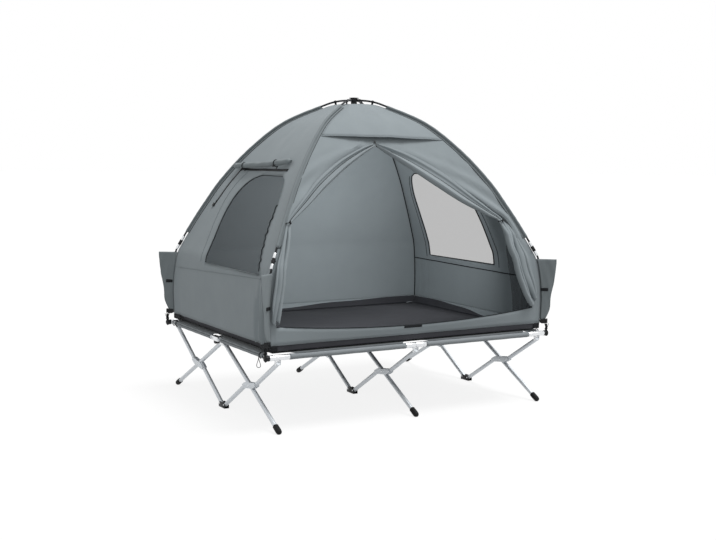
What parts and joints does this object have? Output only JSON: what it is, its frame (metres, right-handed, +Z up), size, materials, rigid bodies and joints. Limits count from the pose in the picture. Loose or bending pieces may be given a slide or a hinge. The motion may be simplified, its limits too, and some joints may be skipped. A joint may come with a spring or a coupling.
{
  "type": "tent cot",
  "caption": "Folding camp cot on scissor legs of aluminium tube, with a grey dome tent that has a tied-back door and mesh windows standing on its bed.",
  "frame": {"origin": "on the floor under the middle of the cot (centre of the bounding box's bottom)", "axes": "+X along the cot's long side, the door faces -Y, +Z up"},
  "size_m": [2.0186, 1.57, 1.8893],
  "materials": {
    "aluminium_tube": "satin anodised",
    "bright_alloy": "bright cast",
    "black_plastic": "moulded, matt",
    "black_rubber": "matt",
    "grey_cloth": "coated polyester, soft sheen",
    "shaded_cloth": "coated polyester, soft sheen",
    "dark_bed_cloth": "heavy woven, matt",
    "insect_mesh": "fine open mesh",
    "dark_pole": "glass-fibre rod, satin"
  },
  "bodies": {
    "root": {"centre_rail": "aluminium_tube", "bar_hinge_left": "bright_alloy", "bar_hinge_right": "bright_alloy", "bed_sheet": "dark_bed_cloth"},
    "front_straight_legs": {"front_straight_leg_left": "aluminium_tube", "front_foot_left": "black_rubber", "front_straight_leg_middle": "aluminium_tube", "front_foot_middle": "black_rubber", "front_straight_leg_right": "aluminium_tube", "front_foot_right": "black_rubber"},
    "front_jogged_legs": {"front_jogged_leg_left": "aluminium_tube", "front_jogged_leg_middle": "aluminium_tube", "front_jogged_leg_right": "aluminium_tube"},
    "front_rail": {"front_rail": "aluminium_tube", "front_left_cap": "black_plastic", "front_right_cap": "black_plastic"},
    "middle_feet": {"middle_foot_left": "black_plastic", "middle_foot_middle": "black_plastic", "middle_foot_right": "black_plastic"},
    "rear_straight_legs": {"rear_straight_leg_left": "aluminium_tube", "rear_foot_left": "black_rubber", "rear_straight_leg_middle": "aluminium_tube", "rear_foot_middle": "black_rubber", "rear_straight_leg_right": "aluminium_tube", "rear_foot_right": "black_rubber"},
    "rear_jogged_legs": {"rear_jogged_leg_left": "aluminium_tube", "rear_jogged_leg_middle": "aluminium_tube", "rear_jogged_leg_right": "aluminium_tube"},
    "rear_rail": {"rear_rail": "aluminium_tube", "rear_left_cap": "black_plastic", "rear_right_cap": "black_plastic"},
    "front_bars": {"front_end_bar_left": "aluminium_tube", "front_end_bar_right": "aluminium_tube"},
    "rear_bars": {"rear_end_bar_left": "aluminium_tube", "rear_end_bar_right": "aluminium_tube"},
    "tent": {"tent_floor": "dark_bed_cloth", "left_wall": "shaded_cloth", "right_wall": "shaded_cloth", "front_wall": "grey_cloth", "back_wall": "grey_cloth", "visor": "grey_cloth", "window_mesh_left": "insect_mesh", "window_mesh_right": "insect_mesh", "window_roll_left": "shaded_cloth", "window_roll_right": "shaded_cloth", "door_flap_left": "grey_cloth", "door_flap_right": "grey_cloth", "hub_body": "black_plastic", "hub_cap": "black_plastic", "front_left_pole": "dark_pole", "front_left_corner": "shaded_cloth", "front_right_pole": "dark_pole", "front_right_corner": "shaded_cloth", "rear_left_pole": "dark_pole", "rear_left_corner": "shaded_cloth", "rear_right_pole": "dark_pole", "rear_right_corner": "shaded_cloth"},
    "window_zip_pull_body": {"window_zip_pull": "black_plastic"},
    "door_zip_pull_body": {"door_zip_pull": "black_plastic"}
  },
  "joints": [
    {"name": "fold", "type": "hinge", "parent": "root", "child": "front_straight_legs", "pos_m": [0, -0.03, 0.393], "axis": [1, 0, 0], "range_deg": [0, 55]},
    {"name": "front_scissor", "type": "hinge", "parent": "front_straight_legs", "child": "front_jogged_legs", "pos_m": [0, -0.39, 0.2075], "axis": [1, 0, 0], "range_deg": [-110, 0]},
    {"name": "front_rail_pivot", "type": "hinge", "parent": "front_jogged_legs", "child": "front_rail", "pos_m": [0, -0.75, 0.393], "axis": [1, 0, 0], "range_deg": [0, 55]},
    {"name": "middle_foot_pivot", "type": "hinge", "parent": "front_jogged_legs", "child": "middle_feet", "pos_m": [0, -0.03, 0.022], "axis": [1, 0, 0], "range_deg": [0, 55]},
    {"name": "rear_fold", "type": "hinge", "parent": "root", "child": "rear_straight_legs", "pos_m": [0, 0.03, 0.393], "axis": [1, 0, 0], "range_deg": [-55, 0]},
    {"name": "rear_scissor", "type": "hinge", "parent": "rear_straight_legs", "child": "rear_jogged_legs", "pos_m": [0, 0.39, 0.2075], "axis": [1, 0, 0], "range_deg": [0, 110]},
    {"name": "rear_rail_pivot", "type": "hinge", "parent": "rear_jogged_legs", "child": "rear_rail", "pos_m": [0, 0.75, 0.393], "axis": [1, 0, 0], "range_deg": [-55, 0]},
    {"name": "front_bar_hinge", "type": "hinge", "parent": "root", "child": "front_bars", "pos_m": [0, -0.03, 0.427], "axis": [1, 0, 0], "range_deg": [0, 80]},
    {"name": "rear_bar_hinge", "type": "hinge", "parent": "root", "child": "rear_bars", "pos_m": [0, 0.03, 0.427], "axis": [1, 0, 0], "range_deg": [-80, 0]},
    {"name": "tent_lift", "type": "slide", "parent": "root", "child": "tent", "axis": [0, 0, 1], "range_m": [0, 0.35]},
    {"name": "window_zip_slide", "type": "slide", "parent": "tent", "child": "window_zip_pull_body", "axis": [0.4867, 0, 0.8735], "range_m": [0, 0.085]},
    {"name": "door_zip_swing", "type": "hinge", "parent": "tent", "child": "door_zip_pull_body", "pos_m": [-0.06122, -0.36227, 1.61196], "axis": [-1, 0, 0], "range_deg": [0, 70]}
  ],
  "couplings": [
    {"joint": "front_scissor", "follows": "fold", "ratio": -2},
    {"joint": "front_rail_pivot", "follows": "fold", "ratio": 1},
    {"joint": "middle_foot_pivot", "follows": "fold", "ratio": 1},
    {"joint": "rear_fold", "follows": "fold", "ratio": -1},
    {"joint": "rear_scissor", "follows": "fold", "ratio": 2},
    {"joint": "rear_rail_pivot", "follows": "fold", "ratio": -1},
    {"joint": "front_bar_hinge", "follows": "fold", "ratio": 1.447},
    {"joint": "rear_bar_hinge", "follows": "fold", "ratio": -1.447}
  ]
}
